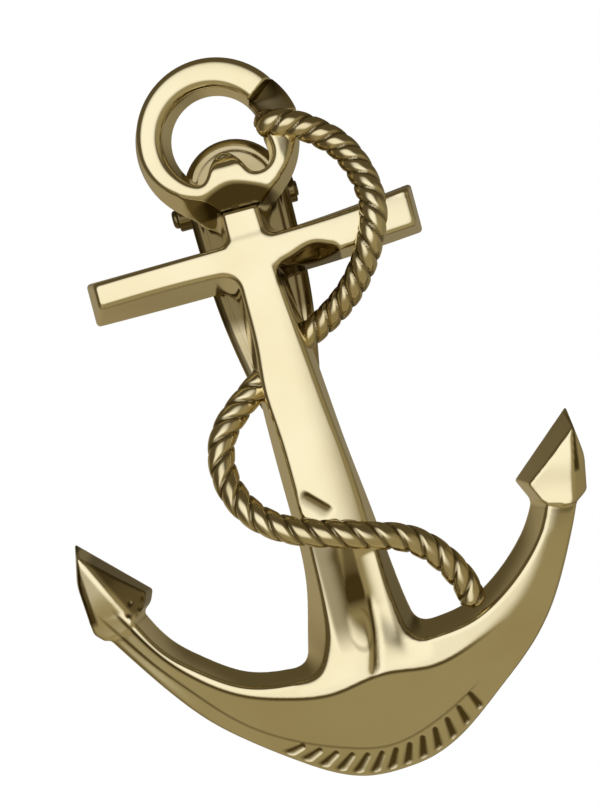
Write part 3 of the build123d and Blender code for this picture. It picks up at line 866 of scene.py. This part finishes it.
def hitch(x, y, z):
    """The collar that binds the rope's end to the ring."""
    r = np.hypot(x - RING_X, z - RING_Z)
    turn = np.degrees(np.arctan2(z - RING_Z, x - RING_X))
    share = (turn - HITCH_FROM) / (HITCH_TO - HITCH_FROM)
    front = HITCH_FRONT_Y + HITCH_SINK * np.clip(share, 0, 1) + 0.12 * (r - RING_BAND_R)**2
    section = meet(
        0.4,
        r - HITCH_OUTER_R - 0.2 * (1 - share) - 0.08 * depth_share(y),
        HITCH_INNER_R - HITCH_NOSE * soft_line(turn - 7, 7) - r,
        front - y,
        y - HITCH_BACK_Y)
    around = np.radians(turn) * r
    return meet(0.2, section, around - math.radians(HITCH_TO) * r, math.radians(HITCH_FROM) * r - around)


def build_hitch():
    points, faces = skin(hitch, (1.2, -1.9, 6.6), (5.6, 1.2, 11.4), HITCH_STEP)
    x, _, z = points.T
    # Painted shade over the whole hitch, darker towards its top, which faces up and away from the lights,
    # and lighter towards its right.
    patina_and_shade = (0.2 + 0.3 * ramp(z, 7.6, 8.6) + 0.35 * ramp(z, 8.9, 9.4)) * (1 - 0.6 * ramp(x, 3.6, 4.8))
    mesh = smooth_mesh("rope_hitch_surface", points, faces, patina_and_shade)
    add_piece("rope_hitch_skin", mesh, "anchor", "rope_hitch", rope_metal)


build_hitch()

# ---- Hinged loop ----------------------------------------------
PLATE_FRONT_Y = 1.9
PLATE_BACK_Y = 2.7
PLATE_TOP_R = 3.3
PLATE_TOP_CENTRE_Z = 4.85
PLATE_TIP_R = 2.1
PLATE_TIP_CENTRE_Z = -8.3
PLATE_SIDE = Smooth((-8.3, 2.1), (-5.3, 2.65), (-2.2, 3.05), (1.3, 3.24), (4.85, 3.3))
PLATE_BEVEL = (0.45, 0.6)  # slope and width of the bevel round the plate's front
PLATE_GROOVE = (0.07, 0.72, 0.12)    # depth, distance from the edge and width
POST_R = 1.0
POST_WAIST = 0.12          # by which a post is thinner at its middle
POST_FLARE = 0.3           # solder fillet at both of a post's ends
UPPER_POST_Z = 0.2
LOWER_POST_Z = -3.4
TUBE_R = 0.85
TUBE_EDGE = 0.12
BORE_EDGE = 0.06
HINGE_Y = 3.67
HINGE_Z = 4.25
PIN_R = 0.35
PIN_PLAY = 0.05
PIN_HEAD_R = 0.6
PIN_HEAD_LENGTH = 0.35
PIN_RIVET_R = 0.5
PIN_RIVET_LENGTH = 0.15
TUBES_LEFT_X = -4.1
TUBES_RIGHT_X = 3.75
CENTRE_TUBE_HALF = 1.75
TUBE_GAP = 0.15
LEAF_THICKNESS = 0.75
LEAF_BOW_Y = 8.3           # outermost point of the rear leaf's outer face
LEAF_BOW_Z = -2.2
LEAF_SEAT_GAP = 0.15
LEAF_FOOT_BEND_R = 0.7
LEAF_FOOT_LENGTH = 1.5
LEAF_TAB_LENGTH = 0.8
LEAF_SIDE_INSET = 0.35
LEAF_EDGE = 0.22
SHOULDER_ROOM = 0.2        # between the leaf's shoulders and the fixed tubes
STUD_STEM_R = 0.3
STUD_HEAD_R = 0.42
STUD_HEAD_LENGTH = 0.35
STUD_HOLE_R = 0.56
STUD_HOLE_TO_Y = 4.3       # the hole cuts the leaf's foot and not its bow


def pear(x, z):
    """Distance outside the loop's pear shape."""
    side = PLATE_SIDE.above(z, np.abs(x))
    top = np.hypot(x, z - PLATE_TOP_CENTRE_Z) - PLATE_TOP_R
    tip = np.hypot(x, z - PLATE_TIP_CENTRE_Z) - PLATE_TIP_R
    return np.where(z > PLATE_TOP_CENTRE_Z, top, np.where(z < PLATE_TIP_CENTRE_Z, tip, side))


def backplate(x, y, z):
    edge = pear(x, z)
    bevel = PLATE_BEVEL[0] * soft_positive(edge + PLATE_BEVEL[1], 0.2)
    groove = PLATE_GROOVE[0] * soft_line(edge + PLATE_GROOVE[1], PLATE_GROOVE[2])
    return meet(0.2, edge, PLATE_FRONT_Y + bevel + groove - y, y - PLATE_BACK_Y)


def backplate_shade(z):
    """Painted reflection of the casting's dark back, on the plate behind the neck."""
    return 0.7 * window(z, -4.5, -3.0, 3.5, 5.0)


def posts(x, y, z):
    """Round posts that flare into both faces that they are brazed to."""
    middle_y = (BACK_Y + PLATE_FRONT_Y) / 2
    half = (PLATE_FRONT_Y - BACK_Y) / 2
    flare = POST_FLARE * ramp(np.abs(y - middle_y), 0, half)**2
    near = np.where(z > (UPPER_POST_Z + LOWER_POST_Z) / 2, UPPER_POST_Z, LOWER_POST_Z)
    return np.maximum(np.hypot(x, z - near) - POST_R + POST_WAIST - flare, np.abs(y - middle_y) - half)


def around_hinge(y, z):
    return np.hypot(y - HINGE_Y, z - HINGE_Z)


def fixed_tube(x_from, x_to):
    """Field of an outer knuckle tube, brazed to the back plate with a fillet."""
    def field(x, y, z):
        r = around_hinge(y, z)
        ends = np.abs(x - (x_from + x_to) / 2) - (x_to - x_from) / 2
        on_plate = np.clip(x, 0.3 - PLATE_TOP_R, PLATE_TOP_R - 0.3)
        saddle = meet(0.1, np.abs(z - HINGE_Z) - 0.55, y - HINGE_Y, PLATE_BACK_Y - y, np.abs(x - on_plate))
        solid = meet(TUBE_EDGE, smooth_min(r - TUBE_R, saddle, 0.35), ends)
        return meet(BORE_EDGE, solid, PLATE_BACK_Y - y, PIN_R - r)
    return field


def centre_tube(x, y, z):
    r = around_hinge(y, z)
    shell = meet(TUBE_EDGE, r - TUBE_R, np.abs(x) - CENTRE_TUBE_HALF)
    return smooth_max(shell, PIN_R + PIN_PLAY - r, BORE_EDGE)


def pin(x, y, z):
    """The hinge pin: a domed head on the left and a peened end on the right."""
    r = around_hinge(y, z)
    middle = (TUBES_LEFT_X + TUBES_RIGHT_X) / 2
    shaft = np.maximum(r - PIN_R, np.abs(x - middle) - (TUBES_RIGHT_X - TUBES_LEFT_X) / 2)
    head = meet(0.3, r - PIN_HEAD_R, TUBES_LEFT_X - PIN_HEAD_LENGTH - x)
    head = np.maximum(head, x - TUBES_LEFT_X)
    rivet = meet(0.15, r - PIN_RIVET_R, x - TUBES_RIGHT_X - PIN_RIVET_LENGTH)
    rivet = np.maximum(rivet, TUBES_RIGHT_X - x)
    return np.minimum(shaft, np.minimum(head, rivet))


def leaf_line():
    """The rear leaf's centre line as (y, z) points, from the hinge over its bow to its thumb tab,
    and the height of its catch hole."""
    crest_y = LEAF_BOW_Y - LEAF_THICKNESS / 2
    seat_y = PLATE_BACK_Y + LEAF_SEAT_GAP + LEAF_THICKNESS / 2
    rise = HINGE_Z - LEAF_BOW_Z
    upper_centre = (crest_y**2 - HINGE_Y**2 - rise**2) / (2 * (crest_y - HINGE_Y))
    upper_r = crest_y - upper_centre
    top_angle = math.atan2(rise, HINGE_Y - upper_centre)
    line = [(upper_centre + upper_r * math.cos(t), LEAF_BOW_Z + upper_r * math.sin(t))
            for t in np.linspace(top_angle, 0, 24)]
    lower_r = crest_y - seat_y - LEAF_FOOT_BEND_R
    foot_centre_y = seat_y + LEAF_FOOT_BEND_R
    line += [(foot_centre_y + lower_r * math.cos(t), LEAF_BOW_Z - lower_r * math.sin(t))
             for t in np.linspace(0, math.pi / 2, 14)[1:]]
    foot_z = LEAF_BOW_Z - lower_r - LEAF_FOOT_BEND_R
    line += [(foot_centre_y - LEAF_FOOT_BEND_R * math.sin(t), foot_z + LEAF_FOOT_BEND_R * math.cos(t))
             for t in np.linspace(0, math.pi / 2, 7)[1:]]
    line.append((seat_y, foot_z - LEAF_FOOT_LENGTH))
    line.append((seat_y + LEAF_TAB_LENGTH, foot_z - LEAF_FOOT_LENGTH - LEAF_TAB_LENGTH))
    return line, foot_z - LEAF_FOOT_LENGTH / 2


LEAF_LINE, STUD_Z = leaf_line()


def rear_leaf(x, y, z):
    """A bowed strip of pear outline, with shoulders beside the centre tube and a catch hole."""
    nearest = 99.0
    for (y0, z0), (y1, z1) in zip(LEAF_LINE, LEAF_LINE[1:]):
        t = np.clip(share_along(y, z, (y0, z0), (y1, z1)), 0, 1)
        nearest = np.minimum(nearest, np.hypot(y - y0 - t * (y1 - y0), z - z0 - t * (z1 - z0)))
    sides = pear(x, np.maximum(z, PLATE_TIP_CENTRE_Z)) + LEAF_SIDE_INSET
    blade = meet(LEAF_EDGE, nearest - LEAF_THICKNESS / 2, sides)
    r = around_hinge(y, z)
    shoulders = TUBE_R + SHOULDER_ROOM - r
    beside_tube = np.abs(x) - CENTRE_TUBE_HALF
    over_tube = np.maximum(TUBE_R - r, shoulders + 4 * beside_tube)
    cut = np.where(beside_tube > 0, shoulders, over_tube)
    hole = STUD_HOLE_R - np.hypot(x, z - STUD_Z) - 5 * np.maximum(y - STUD_HOLE_TO_Y, 0)
    return meet(0.1, blade, cut, np.maximum(hole, -1.0))


def catch_stud(x, y, z):
    r = np.hypot(x, z - STUD_Z)
    head_from = PLATE_BACK_Y + LEAF_SEAT_GAP + LEAF_THICKNESS
    foot_flare = 0.15 * ramp(PLATE_BACK_Y + 0.15 - y, 0, 0.15)
    stem = np.maximum(r - STUD_STEM_R - foot_flare, y - head_from - 0.1)
    head = meet(0.2, r - STUD_HEAD_R, y - head_from - STUD_HEAD_LENGTH)
    return np.maximum(np.minimum(stem, np.maximum(head, head_from - y)), PLATE_BACK_Y - y)


def loop_piece(node, field, low, high, step, body="anchor", patina_and_shade=0.0):
    """Skins one part of the loop, in place of its CAD node. Its painted shade may vary with z."""
    points, faces = skin(field, low, high, step)
    spread = patina_and_shade(points[:, 2]) if callable(patina_and_shade) else np.full(len(points), patina_and_shade)
    mesh = smooth_mesh(node + "_surface", points, faces, spread)
    add_piece(node + "_skin", mesh, body, node, shaded_loop_metal)


def build_loop():
    low = (-3.4, 1.8, -10.5)
    high = (3.4, 2.8, 8.3)
    loop_piece("loop_backplate", backplate, low, high, 0.1, patina_and_shade=backplate_shade)
    for post, post_z in (("upper_post", UPPER_POST_Z), ("lower_post", LOWER_POST_Z)):
        loop_piece(post, posts, (-1.2, 1.3, post_z - 1.2), (1.2, 1.9, post_z + 1.2), 0.08)
    for tube, x_from, x_to in (
            ("hinge_tube_left", TUBES_LEFT_X, -CENTRE_TUBE_HALF - TUBE_GAP),
            ("hinge_tube_right", CENTRE_TUBE_HALF + TUBE_GAP, TUBES_RIGHT_X)):
        low = (x_from, 2.7, 3.3)
        high = (x_to, 4.6, 5.2)
        # the fixed tubes are darkened all over: painted shade, as they lie behind the ring
        loop_piece(tube, fixed_tube(x_from, x_to), low, high, 0.06, patina_and_shade=0.7)
    loop_piece("hinge_tube_centre", centre_tube, (-1.8, 2.8, 3.4), (1.8, 4.6, 5.1), 0.06, "rear_leaf_body")
    # the pin is darkened all over: painted shade
    loop_piece("hinge_pin", pin, (-4.5, 3.0, 3.6), (4.0, 4.3, 4.9), 0.06, patina_and_shade=0.62)
    loop_piece("catch_stud", catch_stud, (-0.5, 2.7, STUD_Z - 0.5), (0.5, 4.0, STUD_Z + 0.5), 0.05)
    loop_piece("rear_leaf", rear_leaf, (-3.1, 2.8, -11.5), (3.1, 8.4, 5.2), 0.1, "rear_leaf_body")


build_loop()

# ---- Camera ---------------------------------------------------
LEAN = 14.9                # degrees that the anchor leans to the left in view
CAMERA_DISTANCE = 75.0     # from the casting's front face
VIEW_HEIGHT = 48.83        # of the picture, at the casting's front face
VIEW_CENTRE = (0.5, -9.2)
SENSOR_HEIGHT = 24.0


def build_camera():
    """Looks straight at the anchor's front, turned by its lean."""
    data = bpy.data.cameras.new("camera")
    data.sensor_fit = "VERTICAL"
    data.sensor_height = SENSOR_HEIGHT
    data.lens = SENSOR_HEIGHT * CAMERA_DISTANCE / VIEW_HEIGHT
    data.clip_start = 0.002
    camera = bpy.data.objects.new("camera", data)
    lean = math.radians(LEAN)
    right = Vector((math.cos(lean), 0, -math.sin(lean)))
    up = Vector((math.sin(lean), 0, math.cos(lean)))
    back = Vector((0, -1, 0))
    place = (Vector((VIEW_CENTRE[0], FRONT_Y - CAMERA_DISTANCE, VIEW_CENTRE[1])) + ORIGIN) * MM
    turn = Matrix((right, up, back)).transposed()
    camera.matrix_world = Matrix.Translation(place) @ turn.to_4x4()
    bpy.context.scene.collection.objects.link(camera)
    bpy.context.scene.camera = camera


build_camera()

# ---- World ----------------------------------------------------
SURROUND = (0.095, 0.075, 0.038)
SOFT_BOXES = [             # direction seen from the object, full and zero half-angles, colour
    ((-0.5, 0.8, -0.35), 15, 58, (0.33, 0.28, 0.18)),
    ((0.9, 0.2, -0.4), 10, 45, (0.22, 0.19, 0.12)),
    ((0.45, 0.85, -0.2), 12, 40, (0.25, 0.215, 0.14)),
    ((0.8, -0.55, -0.15), 12, 38, (0.27, 0.225, 0.125)),
    ((0.0, -0.35, -0.94), 15, 50, (0.42, 0.36, 0.22)),
    ((0.0, -0.76, -0.65), 28, 62, (0.31, 0.262, 0.15)),
    ((-0.22, -1.0, 0.08), 12, 42, (1.03, 1.02, 0.99)),
]


def colour_mix(nodes, links, first, second, factor):
    """A mix of a colour or a socket with a second colour."""
    mix = nodes.new("ShaderNodeMix")
    mix.data_type = "RGBA"
    if isinstance(first, tuple):
        mix.inputs["A"].default_value = (*first, 1)
    else:
        links.new(first, mix.inputs["A"])
    mix.inputs["B"].default_value = (*second, 1)
    links.new(factor, mix.inputs["Factor"])
    return mix.outputs["Result"]


def build_world():
    """Soft round lights in a dim brown room, which the brass reflects, before a white backdrop."""
    world = bpy.data.worlds.new("studio")
    bpy.context.scene.world = world
    world.use_nodes = True
    nodes = world.node_tree.nodes
    links = world.node_tree.links
    place = nodes.new("ShaderNodeTexCoord")
    light = SURROUND
    for direction, full, zero, colour in SOFT_BOXES:
        dot = nodes.new("ShaderNodeVectorMath")
        dot.operation = "DOT_PRODUCT"
        dot.inputs[1].default_value = Vector(direction).normalized()
        links.new(place.outputs["Generated"], dot.inputs[0])
        glow = nodes.new("ShaderNodeMapRange")
        glow.interpolation_type = "SMOOTHSTEP"
        set_inputs(glow, From_Min=math.cos(math.radians(zero)), From_Max=math.cos(math.radians(full)))
        links.new(dot.outputs["Value"], glow.inputs["Value"])
        light = colour_mix(nodes, links, light, colour, glow.outputs["Result"])
    seen = nodes.new("ShaderNodeLightPath")
    light = colour_mix(nodes, links, light, (1, 1, 1), seen.outputs["Is Camera Ray"])
    links.new(light, nodes["Background"].inputs["Color"])


build_world()

# ---- Floor ----------------------------------------------------
FLOOR_DROP = 32.0          # below the anchor's crown, out of the main view
FLOOR_R = 45.0


def build_floor():
    """A pale round table top, softly lit, below the hanging button."""
    floor = bmesh.new()
    bmesh.ops.create_circle(floor, cap_ends=True, segments=96, radius=FLOOR_R * MM)
    mesh = bpy.data.meshes.new("floor")
    floor.to_mesh(mesh)
    floor.free()
    table = bpy.data.objects.new("floor", mesh)
    table.location = (0, 0, cad_bounds[0][2] - FLOOR_DROP * MM)
    bpy.context.scene.collection.objects.link(table)
    paint = bpy.data.materials.new("pale_floor")
    paint.use_nodes = True
    set_inputs(paint.node_tree.nodes["Principled BSDF"], Base_Color=(0.8, 0.78, 0.72, 1), Roughness=0.9,
               Emission_Color=(0.9, 0.84, 0.72, 1), Emission_Strength=0.4)
    mesh.materials.append(paint)
    table.visible_glossy = False
    table.visible_diffuse = False


build_floor()
bpy.context.scene.view_settings.view_transform = "Standard"
